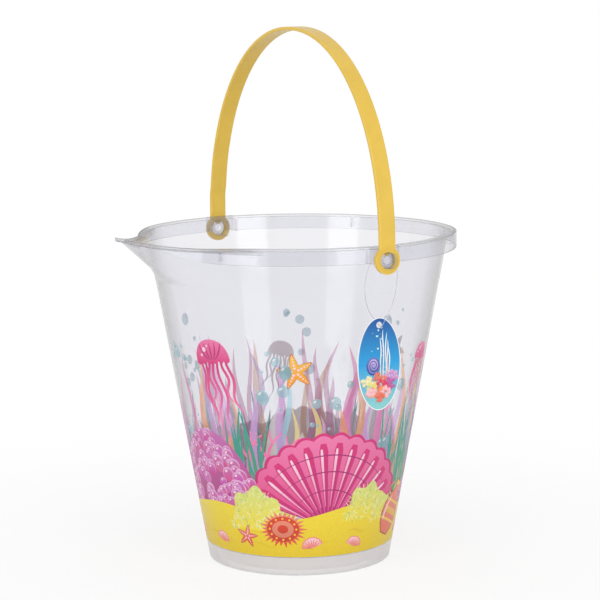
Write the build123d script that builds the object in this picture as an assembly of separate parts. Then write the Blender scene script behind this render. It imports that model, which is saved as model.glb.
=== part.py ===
from build123d import *
import math
import os

# Clear moulded sand bucket: a tapered wall with a pouring spout and a turned-down rim, a strap
# handle that swings on two grooved studs, a printed film in the wall and a card tag on a thread.
# Millimetres. The origin is the centre of the foot, +Z is up, the spout points along +X and the
# handle turns about an axis parallel to Y. The tag hangs from the stud on the +Y side.

# ---------------------------------------------------------------- wall and floor
bucket_height = 230.0        # foot to the top of the rim
foot_radius = 63.6           # outside of the wall at the foot
wall_flare = 41.4            # growth of the outside radius from foot to rim
wall_thickness = 1.3
floor_thickness = 1.8
foot_ring_height = 3.0       # hollow under the floor
foot_ring_width = 4.5
foot_round = 1.2
floor_round = 4.0            # inside corner between floor and wall

# ---------------------------------------------------------------- printed film
film_bottom = 13.6
film_margin = 33.0           # rim's top down to the film's upper edge
film_thickness = 0.2         # lies flush in the wall, as a film laid in the mould does

# ---------------------------------------------------------------- rim
rim_overhang = 5.7           # how far the rim stands out of the wall
flange_thickness = 1.5
skirt_height = 10.7
skirt_thickness = 1.3

# ---------------------------------------------------------------- spout
spout_reach = 140.4          # axis of the bucket to the tip of the lip
spout_depth = 30.0           # rim down to where the spout leaves the wall
spout_root_half_angle = 16.0
spout_fold_half_angle = 2.5  # the underside's rounded middle fold, at the root
spout_rise = 4.6             # tip of the lip above the rim
spout_dip = 1.5              # sag of the lip between rim and tip
sag_start = 69.5             # axis of the bucket to where the rim's top starts to sag
lip_margin = 1.2             # the lip's circle is this much larger than the wall's
lip_shelf = 5.5              # at the tip, the lip stands this far out of the trough
lip_bead_height = 2.6
lip_tip_round = 4.0
trough_tip_round = 3.0
lip_blend = 18.0             # hollow corner where the lip leaves the round rim
lip_sweep = 1.6              # steepness of the lip's upturned end
shoulder_half_width = 26.0   # half width of the spout where the skirt ends in the bead

# ---------------------------------------------------------------- ribs under the rim
rib_thickness = 1.2
rib_height = 8.0
rib_azimuths = (31.0, 143.0)  # degrees from the spout, on both sides

# ---------------------------------------------------------------- handle studs
stud_drop = 8.7              # rim's top down to the pivot axis
stud_radius = 5.4
stud_nose = 4.4              # length that stands out past the handle's eye
stud_round = 0.9
groove_depth = 2.5
pad_half_width = 11.0
pad_stand = 1.7              # the flat pad stands this far out of the rim
pad_wall = 1.4

# ---------------------------------------------------------------- handle
strap_width = 12.25
strap_thickness = 2.4
strap_round = 0.7
arch_height = 148.6          # pivot axis to the middle of the strap at its top
arch_fullness = 2.06         # 2 is an ellipse, more is squarer
arch_steps = 24              # points on each edge of the arch
eye_radius = 9.25
eye_lip_width = 1.2
eye_lip_height = 0.35
eye_running_clearance = 0.1
thread_gap = 1.1             # room between pad and eye, where the tag's thread lies
tongue_width = 4.0
tongue_thickness = 1.2
tongue_clearance = 0.15      # to the sides and the bottom of the stud's groove

# ---------------------------------------------------------------- tag and its thread
tag_width = 33.4
tag_height = 61.8
tag_thickness = 0.5
tag_hole_radius = 1.9
tag_hole_inset = 4.9         # top edge to the middle of the hole
tag_drop = 42.4              # pivot axis down to the middle of the tag's hole
tag_x = 5.3                  # the tag hangs this far from the stud towards the spout
thread_diameter = 0.6
thread_arc_share = 0.45      # share of a straight run that the bend at its end may take
knot_radius = 0.9

# ---------------------------------------------------------------- worked-out values
wall_slope = wall_flare / bucket_height
rim_radius = foot_radius + wall_flare + rim_overhang
mouth_radius = foot_radius + wall_flare - wall_thickness
skirt_bottom = bucket_height - skirt_height
stud_height = bucket_height - stud_drop
film_top = bucket_height - film_margin
pad_face = rim_radius + pad_stand
eye_inner = pad_face + thread_gap
strap_middle = eye_inner + strap_thickness / 2
stud_end = eye_inner + strap_thickness + stud_nose
eye_hole_radius = stud_radius + eye_running_clearance
groove_radius = stud_radius - groove_depth
floor_top = foot_ring_height + floor_thickness
outside = 2 * spout_reach    # longer than anything on the bucket, for cutting blocks
above_lip = 2 * spout_rise   # from the rim to clear above the lip's tip
bite = 1.0                   # how far joined shapes run into each other

# The trough's plan is the mouth's circle with its two tangents drawn out to a rounded tip.
# The lip's plan is made the same way from a larger circle, with its tip further out.
wall_top_radius = foot_radius + wall_flare
lip_radius = wall_top_radius + lip_margin


def half_angle(radius, tip, tip_round):
    """Angle between the middle line and the tangents of a circle that end in a rounded tip."""
    return math.asin((radius - tip_round) / (tip - tip_round))


lip_half_angle = half_angle(lip_radius, spout_reach, lip_tip_round)
trough_half_angle = half_angle(wall_top_radius, spout_reach - lip_shelf, trough_tip_round)


def wall_radius(z):
    """Outside radius of the wall at a height."""
    return foot_radius + wall_slope * z


def polar(radius, degrees, z=0.0):
    """A point at a radius and an azimuth from the spout."""
    angle = math.radians(degrees)
    return (radius * math.cos(angle), radius * math.sin(angle), z)


# ---------------------------------------------------------------- bucket
def cone_solid(inset, bottom, top, corner):
    """The wall's cone between two heights, drawn in by inset, with a rounded bottom corner."""
    profile = Polyline(
        (0, bottom),
        (wall_radius(bottom) - inset, bottom),
        (wall_radius(top) - inset, top),
        (0, top),
        close=True,
    )
    face = make_face(Plane.XZ * profile)
    if corner:
        foot = face.vertices().group_by(Axis.Z)[0].sort_by(Axis.X)[-1]
        face = fillet(foot, corner)
    return revolve(face, Axis.Z)


def spout_solid(inset, tip_radius):
    """The spout as a block: flat flanks, a folded underside ruled from its root to the lip, a flat top."""
    top = bucket_height
    root = bucket_height - spout_depth + inset / 2
    touch = 90 - math.degrees(trough_half_angle)
    radius = wall_top_radius - inset
    reach = radius / math.sin(trough_half_angle)
    root_radius = wall_radius(root) - inset
    # Upper edge: tangent point, shoulder, start and middle of the tip's arc.
    side = Vector(math.cos(trough_half_angle), -math.sin(trough_half_angle))
    touch_at = Vector(*polar(radius, touch, top))
    shoulder_at = touch_at + side * (touch_at.Y - shoulder_half_width) / math.sin(trough_half_angle)
    bend_at = Vector(reach, 0, top) - side * tip_radius / math.tan(trough_half_angle)
    nose_at = Vector(reach - tip_radius * (1 / math.sin(trough_half_angle) - 1), 0, top)
    # Lower edge: an arc on the wall, with a short middle piece under the tip's arc.
    corner_at = Vector(*polar(root_radius, spout_root_half_angle, root))
    fold_at = Vector(*polar(root_radius, spout_fold_half_angle, root))
    middle_at = Vector(*polar(root_radius, (spout_root_half_angle + spout_fold_half_angle) / 2, root))
    under_nose = Vector(root_radius, 0, root)

    def other(point):
        return Vector(point.X, -point.Y, point.Z)

    def panel(*points):
        return Face(Wire(Polyline(*points, close=True).edges()))

    lip_side = Line(shoulder_at, bend_at)
    root_side = ThreePointArc(corner_at, middle_at, fold_at)
    lip_tip = ThreePointArc(bend_at, nose_at, other(bend_at))
    root_tip = ThreePointArc(fold_at, under_nose, other(fold_at))
    flank = panel(touch_at, shoulder_at, corner_at)
    underside = Face.make_surface_from_curves(lip_side.edge(), root_side.edge())
    keel = Face.make_surface_from_curves(lip_tip.edge(), root_tip.edge())
    lid_edge = [Line(touch_at, shoulder_at), lip_side, lip_tip]
    lid_edge += [Line(other(bend_at), other(shoulder_at)), Line(other(shoulder_at), other(touch_at))]
    lid = make_face([*lid_edge, Line(other(touch_at), touch_at)]).face()
    other_root_side = ThreePointArc(other(corner_at), other(middle_at), other(fold_at))
    base_edge = [root_side, root_tip, other_root_side, Line(other(corner_at), corner_at)]
    base = make_face(base_edge).face()
    back = panel(touch_at, other(touch_at), other(corner_at), corner_at)
    mirrored = [face.mirror(Plane.XZ) for face in (flank, underside)]
    block = Solid(Shell([flank, underside, keel, *mirrored, lid, base, back]))
    return block + extrude(lid, amount=above_lip, dir=(0, 0, 1))


def rim_plan():
    """Outline of the rim: round, drawn out into the lip, a circle's tangents with a rounded tip."""
    touch = 90 - math.degrees(lip_half_angle)
    reach = lip_radius / math.sin(lip_half_angle)
    ends = [polar(lip_radius, touch), (reach, 0), polar(lip_radius, -touch)]
    point = make_face(Polyline((0, 0), *ends, close=True))
    tip = point.vertices().sort_by(Axis.X)[-1]
    plan = Circle(rim_radius) + fillet(tip, lip_tip_round)
    joins = plan.vertices().group_by(Axis.X)
    hollow = [v for group in joins for v in group if abs(v.Y) > shoulder_half_width and v.X > 0]
    return fillet(hollow, lip_blend)


def side_block(curve):
    """Everything below a side-view curve in the XZ plane, right across the bucket."""
    start = curve[0] @ 0
    end = curve[-1] @ 1
    low = -outside
    frame = Polyline(end, (end.X, 0, low), (start.X, 0, low), start)
    return extrude(make_face([*curve, *frame.edges()]), amount=outside, both=True)


def lip_curve(drop):
    """Side view of the rim's top edge, lowered by drop: level, then sagging, then up to the tip."""
    level = bucket_height - drop
    sag_x = (sag_start + spout_reach) / 2
    tip = (spout_reach, 0, level + spout_rise)
    rise = Vector(spout_reach - sag_x, 0, lip_sweep * (spout_rise + spout_dip))
    swing = Spline(
        [(sag_start, 0, level), (sag_x, 0, level - spout_dip), tip],
        tangents=[(1, 0, 0), rise],
    )
    beyond = Line(tip, Vector(*tip) + rise)
    return [Line((-outside, 0, level), (sag_start, 0, level)), swing, beyond]


def skirt_curve():
    """Side view of the skirt's lower edge: level, then up to the bead at the spout's shoulder."""
    shoulder_x = spout_reach - shoulder_half_width / math.tan(lip_half_angle)
    leave = shoulder_x - shoulder_half_width
    shoulder_z = bucket_height - spout_dip - lip_bead_height
    shoulder = Vector(shoulder_x, 0, shoulder_z)
    climb = Vector(2, 0, 1)
    beyond = shoulder + climb * outside
    return [
        Line((-outside, 0, skirt_bottom), (leave, 0, skirt_bottom)),
        Spline([(leave, 0, skirt_bottom), shoulder], tangents=[(1, 0, 0), climb]),
        Line(shoulder, beyond),
    ]


def rim_solid():
    """Flange, turned-down skirt and lip bead, under the swinging top edge."""
    plan = rim_plan()
    inner_plan = offset(plan, amount=-skirt_thickness)
    height = skirt_height + above_lip
    block = Pos(0, 0, skirt_bottom) * extrude(plan, amount=height)
    core = Pos(0, 0, skirt_bottom) * extrude(inner_plan, amount=height)
    under_top = side_block(lip_curve(0))
    flange = (block & under_top) - side_block(lip_curve(flange_thickness))
    ring = (block - core) & under_top
    skirt = ring - side_block(skirt_curve())
    bead = ring - side_block(lip_curve(lip_bead_height))
    return flange + skirt + bead


def rib(degrees):
    """Thin gusset between wall and skirt, up into the flange where its top may sag."""
    inner = mouth_radius - wall_thickness
    length = rim_radius - skirt_thickness / 2 - inner
    plate = Box(length, rib_thickness, rib_height, align=(Align.MIN, Align.CENTER, Align.MAX))
    plate = Rot(0, 0, degrees) * Pos(inner, 0, bucket_height - flange_thickness / 2) * plate
    return plate & side_block(lip_curve(flange_thickness / 2))


def across(radius, start, end):
    """Cylinder on the pivot axis between two distances from the middle of the bucket."""
    return Plane(origin=(0, start, stud_height), z_dir=(0, 1, 0)) * Cylinder(
        radius, end - start, align=(Align.CENTER, Align.CENTER, Align.MIN)
    )


def pad_block(inset, top):
    """Flat pad on the rim round the pivot, from the wall outwards."""
    inner = mouth_radius - wall_thickness
    return Pos(0, inner, skirt_bottom) * Box(
        2 * (pad_half_width - inset),
        pad_face - inset - inner,
        top - skirt_bottom,
        align=(Align.CENTER, Align.MIN, Align.MIN),
    )


def stud():
    """Grooved pivot stud, carried back to the wall."""
    inner = mouth_radius - 2 * wall_thickness
    pin = across(stud_radius, inner, stud_end)
    nose = pin.edges().filter_by(GeomType.CIRCLE).sort_by(Axis.Y)[-1]
    pin = fillet(nose, stud_round)
    groove_half = tongue_thickness / 2 + tongue_clearance
    groove_start = strap_middle - groove_half
    groove_end = strap_middle + groove_half
    groove = across(stud_radius + bite, groove_start, groove_end)
    groove -= across(groove_radius, groove_start, groove_end)
    return pin - groove


def both_sides(solid):
    """A solid and its mirror image across the spout's plane."""
    return solid + mirror(solid, about=Plane.XZ)


def bucket():
    """The one-piece moulding: wall, floor, spout, rim, ribs, pads and studs."""
    outer_wall = cone_solid(0, 0, bucket_height, foot_round)
    pocket = pad_block(pad_wall, bucket_height - flange_thickness) - outer_wall
    outer = outer_wall + spout_solid(0, trough_tip_round)
    outer = outer & side_block(lip_curve(0))
    outer += rim_solid()
    for degrees in rib_azimuths:
        outer += both_sides(rib(degrees))
    outer += both_sides(pad_block(0, bucket_height))
    outer -= both_sides(pocket)
    outer += both_sides(stud())
    inside = cone_solid(wall_thickness, floor_top, bucket_height + above_lip, floor_round)
    inside += spout_solid(wall_thickness, trough_tip_round - wall_thickness)
    hollow_foot = cone_solid(foot_ring_width, 0, foot_ring_height, foot_round)
    return outer - inside - hollow_foot - print_film()


# ---------------------------------------------------------------- printed film
def print_film():
    """Conical sleeve of printed film, flush with the outside of the wall."""
    skin = cone_solid(0, film_bottom, film_top, 0)
    return skin - cone_solid(film_thickness, film_bottom, film_top, 0)


# ---------------------------------------------------------------- handle
def arch_edge(offset_out):
    """One edge of the strap in side view, from leg to leg over the top."""
    half_span = strap_middle + offset_out
    rise = arch_height - eye_radius + offset_out
    base = stud_height + eye_radius
    points = []
    for step in range(arch_steps + 1):
        angle = math.pi * step / arch_steps
        across_share = math.copysign(abs(math.cos(angle)) ** (2 / arch_fullness), math.cos(angle))
        up_share = max(math.sin(angle), 0) ** (2 / arch_fullness)
        points.append((0, half_span * across_share, base + rise * up_share))
    return Spline(points, tangents=[(0, 0, 1), (0, 0, -1)])


def strap():
    """Flat strap bent into the handle's arch, with a short straight leg over each eye."""
    half = strap_thickness / 2
    outer = arch_edge(half)
    inner = arch_edge(-half)
    leg_bottom = stud_height + eye_hole_radius + bite
    legs = [
        Polyline(
            outer @ end,
            (0, side * (strap_middle + half), leg_bottom),
            (0, side * (strap_middle - half), leg_bottom),
            inner @ end,
        )
        for end, side in ((0, 1), (1, -1))
    ]
    outline = [*outer.edges(), *inner.edges(), *legs[0].edges(), *legs[1].edges()]
    band = extrude(make_face(outline), amount=strap_width / 2, both=True)
    long_edges = band.edges().filter_by(GeomType.BSPLINE)
    return fillet(long_edges, strap_round)


def eye():
    """Ring at the end of the strap with a raised outer lip and a tongue in its hole."""
    outer_face = eye_inner + strap_thickness
    ring = across(eye_radius, eye_inner, outer_face)
    lip = across(eye_radius, outer_face, outer_face + eye_lip_height)
    lip -= across(eye_radius - eye_lip_width, outer_face, outer_face + eye_lip_height)
    ring += lip
    ring -= across(eye_hole_radius, eye_inner, outer_face)
    return ring + tongue()


def tongue():
    """Round-ended tongue that clips into the stud's groove and keeps the eye on it."""
    tip = groove_radius + tongue_clearance
    root = eye_hole_radius + bite
    straight = root - tip - tongue_width / 2
    start = strap_middle - tongue_thickness / 2
    end = start + tongue_thickness
    nose = Pos(0, 0, tip + tongue_width / 2) * across(tongue_width / 2, start, end)
    shank = Pos(0, start, stud_height + tip + tongue_width / 2) * Box(
        tongue_width, tongue_thickness, straight, align=(Align.CENTER, Align.MIN, Align.MIN)
    )
    return nose + shank


def handle():
    """Strap and both eyes, moulded in one."""
    return strap() + both_sides(eye())


# ---------------------------------------------------------------- tag and thread
# The thread lies between pad and eye, over the stud, and hangs in a wide loop to the tag.
# Points run from the knot through the tag's hole, up one side, over the stud and down again.
thread_y = pad_face + thread_gap / 2
thread_over_stud = stud_height + stud_radius + thread_diameter / 2
tag_hole_z = stud_height - tag_drop
thread_route = [
    (tag_x - 1.0, thread_y + 1.35, tag_hole_z - 1.7),
    (tag_x + 1.0, thread_y - 0.75, tag_hole_z + 1.6),
    (tag_x + 3.6, thread_y - 1.1, tag_hole_z + 4.7),
    (tag_x + 7.6, thread_y - 0.6, tag_hole_z + 9.6),
    (tag_x + 10.5, thread_y, tag_hole_z + 17.5),
    (tag_x + 11.0, thread_y, tag_hole_z + 26.5),
    (tag_x + 9.2, thread_y, tag_hole_z + 35.5),
    (tag_x + 5.0, thread_y, tag_hole_z + 43.3),
    (tag_x - 1.6, thread_y, thread_over_stud + 1.6),
    (tag_x - 8.6, thread_y, thread_over_stud + 0.4),
    (tag_x - 13.2, thread_y, tag_hole_z + 42.0),
    (tag_x - 14.6, thread_y, tag_hole_z + 34.0),
    (tag_x - 13.9, thread_y, tag_hole_z + 25.5),
    (tag_x - 12.2, thread_y, tag_hole_z + 17.0),
    (tag_x - 9.0, thread_y + 0.3, tag_hole_z + 9.5),
    (tag_x - 4.8, thread_y + 0.9, tag_hole_z + 3.7),
    (tag_x - 1.6, thread_y + 1.35, tag_hole_z - 0.5),
]


def bend_radii(points):
    """Largest arc that each corner of a route leaves room for."""
    radii = []
    for before, here, after in zip(points, points[1:], points[2:]):
        arriving = Vector(*here) - Vector(*before)
        leaving = Vector(*after) - Vector(*here)
        half_turn = math.radians(arriving.get_angle(leaving)) / 2
        room = thread_arc_share * min(arriving.length, leaving.length)
        radii.append(room / math.tan(half_turn))
    return radii


def tag_loop():
    """Clear thread through the tag's hole and over the stud, with its knot."""
    radii = bend_radii(thread_route)
    print("thread bend radii, mm:", [round(radius, 1) for radius in radii])
    path = FilletPolyline(*thread_route, radius=radii)
    section = Plane(origin=path @ 0, z_dir=path % 0) * Circle(thread_diameter / 2)
    thread = sweep(section, path=path)
    full_volume = math.pi * thread_diameter ** 2 / 4 * path.length
    print("thread length, mm:", round(path.length, 1))
    print("thread volume share:", round(thread.volume / full_volume, 4))
    knot = Pos(*thread_route[0]) * Sphere(knot_radius)
    return thread + knot


def hang_tag():
    """Oval card with a hole near its top."""
    middle_z = tag_hole_z + tag_hole_inset - tag_height / 2
    back = (tag_x, thread_y - tag_thickness / 2, middle_z)
    card_plane = Plane(origin=back, x_dir=(-1, 0, 0), z_dir=(0, 1, 0))
    hole = Pos(0, tag_height / 2 - tag_hole_inset) * Circle(tag_hole_radius)
    card = Ellipse(tag_width / 2, tag_height / 2) - hole
    return extrude(card_plane * card, amount=tag_thickness)


# ---------------------------------------------------------------- write the nodes
parts = {
    "bucket": bucket(),
    "print_film": print_film(),
    "handle": handle(),
    "tag_loop": tag_loop(),
    "hang_tag": hang_tag(),
}
os.makedirs("parts", exist_ok=True)
for name, solid in parts.items():
    export_step(solid, f"parts/{name}.step")
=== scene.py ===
import math
import random

import bmesh
import bpy
from bpy.props import FloatProperty, FloatVectorProperty, PointerProperty
from mathutils import Matrix, Vector
from mathutils.geometry import tessellate_polygon


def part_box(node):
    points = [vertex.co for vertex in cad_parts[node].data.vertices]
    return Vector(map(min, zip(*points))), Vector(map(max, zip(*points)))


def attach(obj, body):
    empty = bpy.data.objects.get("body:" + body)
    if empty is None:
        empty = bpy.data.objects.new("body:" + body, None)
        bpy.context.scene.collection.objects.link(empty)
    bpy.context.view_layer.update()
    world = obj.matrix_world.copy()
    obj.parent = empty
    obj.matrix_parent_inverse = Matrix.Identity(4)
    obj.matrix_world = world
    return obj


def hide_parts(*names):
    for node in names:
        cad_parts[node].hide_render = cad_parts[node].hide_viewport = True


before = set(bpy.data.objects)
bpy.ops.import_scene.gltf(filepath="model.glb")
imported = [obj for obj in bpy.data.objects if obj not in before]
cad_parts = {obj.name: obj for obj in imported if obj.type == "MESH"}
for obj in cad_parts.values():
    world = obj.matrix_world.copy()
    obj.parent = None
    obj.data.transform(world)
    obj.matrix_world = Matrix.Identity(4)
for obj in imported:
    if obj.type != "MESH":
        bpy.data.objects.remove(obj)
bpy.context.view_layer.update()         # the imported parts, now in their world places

bl_info = {
    "name": "Sand bucket",
    "version": (1, 0, 0),
    "blender": (4, 5, 0),
    "location": "View3D > Sidebar > Sand bucket",
    "description": "Dresses a clear beach bucket: wall, printed film, handle, tag and stage",
    "category": "Object",
}

MM = 0.001


# ---------------------------------------------------------------- colours and settings
def linear(hex_colour):
    """Linear red, green and blue of an sRGB hex colour such as E2C15A."""
    channels = [int(hex_colour[place:place + 2], 16) / 255 for place in (0, 2, 4)]
    return tuple(c / 12.92 if c <= 0.04045 else ((c + 0.055) / 1.055) ** 2.4 for c in channels)


def colour(name, description, hex_colour):
    """A colour setting whose default is an sRGB hex value."""
    return FloatVectorProperty(
        name=name,
        description=description,
        subtype="COLOR",
        size=3,
        min=0,
        max=1,
        default=linear(hex_colour),
    )


def size(name, description, millimetres):
    """A length setting whose default is given in millimetres."""
    return FloatProperty(
        name=name, description=description, unit="LENGTH", min=0, default=millimetres * MM
    )


def angle(name, description, degrees):
    """An angle setting whose default is given in degrees."""
    return FloatProperty(
        name=name, description=description, subtype="ANGLE", default=math.radians(degrees)
    )


class SandBucketPlastic(bpy.types.PropertyGroup):
    """Colours of the moulded pieces."""

    clear: colour("Clear plastic", "Tint of the wall's clear polypropylene", "F9F9FB")
    yellow: colour("Handle", "Pigment of the handle's polypropylene", "E5C04C")
    wave_size: size("Mould waves", "Width of the slow waves that moulding leaves in the wall", 38)


class SandBucketInks(bpy.types.PropertyGroup):
    """Inks of the printed film."""

    sand: colour("Sand", "Sea floor along the foot", "EFD93A")
    sand_shade: colour("Sand shade", "Hollows in the sea floor", "E0C32E")
    backing: colour("Backing", "White ink behind the solid colours, seen from inside", "F3EDEA")
    magenta: colour("Magenta", "Large shell and fan", "D8367C")
    deep_magenta: colour("Deep magenta", "Shaded side of the large shell", "A92E72")
    pink: colour("Pink", "Light parts of shells and corals", "EE7FB0")
    pale_pink: colour("Pale pink", "Fine lines and highlights", "F9D3E2")
    orchid: colour("Orchid", "Bubble coral", "C86FB4")
    lilac: colour("Lilac", "Light side of the bubble coral", "E3B3DC")
    coral_red: colour("Coral red", "Anemone", "D9452F")
    salmon: colour("Salmon", "Jar and small shells", "E98C74")
    orange: colour("Orange", "Starfish", "F2962B")
    gold: colour("Gold", "Bands and pebbles", "F0C552")
    brown: colour("Brown", "Outlines of the jar", "8A4A32")
    leaf: colour("Leaf green", "Roots of the sea grass", "4E9A4C")
    teal: colour("Teal", "Tips of the sea grass", "3F9C9A")
    lime: colour("Lime", "Moss on the sea floor", "CFDD86")
    moss_light: colour("Pale moss", "Tips of the moss", "F1F4CE")
    moss_shade: colour("Moss shade", "Roots of the moss", "A3BC5E")
    bubble: colour("Bubbles", "Rising bubbles", "9BC4CD")
    ribbon_pink: colour("Pink ribbon", "Tall weed", "E67FBC")
    ribbon_violet: colour("Violet ribbon", "Tall weed", "CFA0DC")
    ribbon_orange: colour("Orange ribbon", "Tall weed", "F0A468")
    ribbon_yellow: colour("Yellow ribbon", "Tall weed", "F2D678")
    ribbon_blue: colour("Blue ribbon", "Tall weed", "93CBDD")
    rock: colour("Rock", "Distant rocks", "D6CCCF")
    shell_blue: colour("Shell blue", "Coiled shell on the tag", "5F7FC4")
    shell_violet: colour("Shell violet", "Shaded side of the coiled shell", "3C3A8E")


class SandBucketTag(bpy.types.PropertyGroup):
    """Card tag and its thread."""

    card: colour("Card", "Bare card", "F7F7F5")
    deep_water: colour("Deep water", "Top of the tag's picture", "12509E")
    water: colour("Water", "Middle of the tag's picture", "1FA0DC")
    shallow_water: colour("Shallow water", "Bottom of the tag's picture", "8CCFCB")
    border: size("Border", "White edge round the tag's picture", 0.55)
    thread: colour("Thread", "Tint of the clear thread", "DDDCE6")


class SandBucketStage(bpy.types.PropertyGroup):
    """Floor, light and camera."""

    floor: colour("Floor", "Pale floor", "FAFAFA")
    floor_radius: size("Floor radius", "Where the floor has faded out", 500)
    sky: FloatProperty(
        name="Sky", description="Strength of the even light from all round", default=0.72
    )
    key: FloatProperty(name="Key", description="Power of the large lamp, in watts", default=3.5)
    fill: FloatProperty(
        name="Fill", description="Power of the tall side lamps, in watts", default=7.3
    )
    camera_distance: size("Distance", "Camera to the bucket's axis", 1567.3)
    camera_height: size("Height", "Camera above the floor", 411.35)
    camera_aside: size("Aside", "Camera right of the bucket's axis", 1.61)
    camera_azimuth: angle("Azimuth", "Camera's direction from the spout", 59.24)
    camera_pitch: angle("Pitch", "Camera looks down", 8.356)
    camera_roll: angle("Roll", "Camera leans", -0.43)
    camera_view: angle("View", "Angle across the picture", 15.087)


# ---------------------------------------------------------------- nodes and materials
def add_node(tree, kind, inputs=None, **settings):
    """Adds a node with its settings. Inputs are values or the sockets that they are linked to."""
    node = tree.nodes.new(kind)
    for name, value in settings.items():
        setattr(node, name, value)
    for name, value in (inputs or {}).items():
        socket = node.inputs[name]
        if isinstance(value, bpy.types.NodeSocket):
            tree.links.new(value, socket)
        else:
            socket.default_value = value
    return node


def new_material(name):
    """An empty node material and its tree."""
    material = bpy.data.materials.new(name)
    material.use_nodes = True
    material.node_tree.nodes.clear()
    return material, material.node_tree


def finish_material(tree, shader):
    """Joins a shader to the material's output."""
    add_node(tree, "ShaderNodeOutputMaterial", {"Surface": shader.outputs[0]})


def lets_lamps_through(tree, shader):
    """Lets the lamps' light pass a clear piece, so that it throws no black shadow."""
    path = add_node(tree, "ShaderNodeLightPath")
    passing = add_node(tree, "ShaderNodeBsdfTransparent", {"Color": (0.95, 0.95, 0.96, 1)})
    return add_node(
        tree,
        "ShaderNodeMixShader",
        {0: path.outputs["Is Shadow Ray"], 1: shader.outputs[0], 2: passing.outputs[0]},
    )


# Where painted shade greys the bucket's clear plastic, standing in for the dark lines that
# refraction draws along the rim, the lip and the studs. The lip lies along X.
SKIRT_INSIDE, SKIRT_OUTSIDE = 2.3 * MM, 1.5 * MM    # the skirt hangs this far inside the rim
LIP_ROOT, LIP_FULL = 72 * MM, 80 * MM               # where the lip's bar grows out of the skirt
LIP_BEND, LIP_TIP = 102 * MM, 140 * MM              # where its lower edge climbs, and its tip
LIP_LOWER_EDGE, TIP_LOWER_EDGE = 226 * MM, 231.8 * MM
LIP_BAR = 3.0 * MM                                  # height of the bar
STUD_START = 0.5 * MM                               # the studs stand out this far past the rim
# Share of the light that the painted shade takes at each of them.
WALL_TOP_PAINTED_SHADE, FLANGE_PAINTED_SHADE, SKIRT_PAINTED_SHADE = 0.1, 0.25, 0.66
LIP_PAINTED_SHADE, STUD_PAINTED_SHADE = 0.18, 0.09


def painted_rim_shade(tree, spot, facing, rim_radius):
    """Painted shade where the rim's level faces are seen along their length, standing in for the
    dark lines that refraction draws there.
    It is darker where the skirt hangs under them."""
    plan = add_node(tree, "ShaderNodeCombineXYZ", {"X": spot.outputs["X"], "Y": spot.outputs["Y"]})
    radius = add_node(tree, "ShaderNodeVectorMath", {0: plan.outputs[0]}, operation="LENGTH")
    painted_skirt_shade = add_node(
        tree,
        "ShaderNodeMapRange",
        {
            "Value": radius.outputs["Value"],
            "From Min": rim_radius - SKIRT_INSIDE,
            "From Max": rim_radius - SKIRT_OUTSIDE,
            "To Min": FLANGE_PAINTED_SHADE,
            "To Max": SKIRT_PAINTED_SHADE,
        },
    )
    face = add_node(tree, "ShaderNodeNewGeometry")
    normal = add_node(tree, "ShaderNodeSeparateXYZ", {0: face.outputs["True Normal"]})
    level = add_node(tree, "ShaderNodeMath", {0: normal.outputs["Z"]}, operation="ABSOLUTE")
    flat = add_node(
        tree,
        "ShaderNodeMapRange",
        {
            "Value": level.outputs[0],
            "From Min": 0.78,
            "From Max": 0.95,
            "To Min": WALL_TOP_PAINTED_SHADE,
            "To Max": painted_skirt_shade.outputs[0],
        },
    )
    along = add_node(
        tree, "ShaderNodeMapRange", {"Value": facing, "From Min": 0.55, "From Max": 0.85}
    )
    return add_node(
        tree, "ShaderNodeMath", {0: flat.outputs[0], 1: along.outputs[0]}, operation="MULTIPLY"
    )


def painted_lip_shade(tree, spot):
    """Painted shade in the lip, a solid bar whose lower edge is level past the rim's circle and
    then climbs to its tip.
    It stands in for the dark lines that refraction draws along the bar."""
    beyond = add_node(
        tree,
        "ShaderNodeMapRange",
        {"Value": spot.outputs["X"], "From Min": LIP_BEND, "From Max": LIP_TIP},
    )
    climb = add_node(tree, "ShaderNodeMath", {0: beyond.outputs[0], 1: 2.0}, operation="POWER")
    underside = add_node(
        tree,
        "ShaderNodeMapRange",
        {"Value": climb.outputs[0], "To Min": LIP_LOWER_EDGE, "To Max": TIP_LOWER_EDGE},
    )
    rise = add_node(
        tree,
        "ShaderNodeMath",
        {0: spot.outputs["Z"], 1: underside.outputs[0]},
        operation="SUBTRACT",
    )
    share = add_node(tree, "ShaderNodeMapRange", {"Value": rise.outputs[0], "From Max": LIP_BAR})
    # Painted shade in bands, as the dark lines that refraction draws along the bar's edges: none
    # below it, full along its lower edge, half on its face and full along its top.
    bands = add_node(tree, "ShaderNodeValToRGB", {"Fac": share.outputs[0]})
    bands.color_ramp.interpolation = "CONSTANT"
    bands.color_ramp.elements[0].color = (0, 0, 0, 1)
    bands.color_ramp.elements[1].position = 0.02
    bands.color_ramp.elements[1].color = (1, 1, 1, 1)
    for position, grey in ((0.2, 0.5), (0.62, 1.0)):
        bands.color_ramp.elements.new(position).color = (grey, grey, grey, 1)
    painted_lip_strength = add_node(
        tree,
        "ShaderNodeMapRange",
        {
            "Value": spot.outputs["X"],
            "From Min": LIP_ROOT,
            "From Max": LIP_FULL,
            "To Max": LIP_PAINTED_SHADE,
        },
    )
    return add_node(
        tree, "ShaderNodeMath", {0: bands.outputs[0], 1: painted_lip_strength.outputs[0]}, operation="MULTIPLY"
    )


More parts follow.
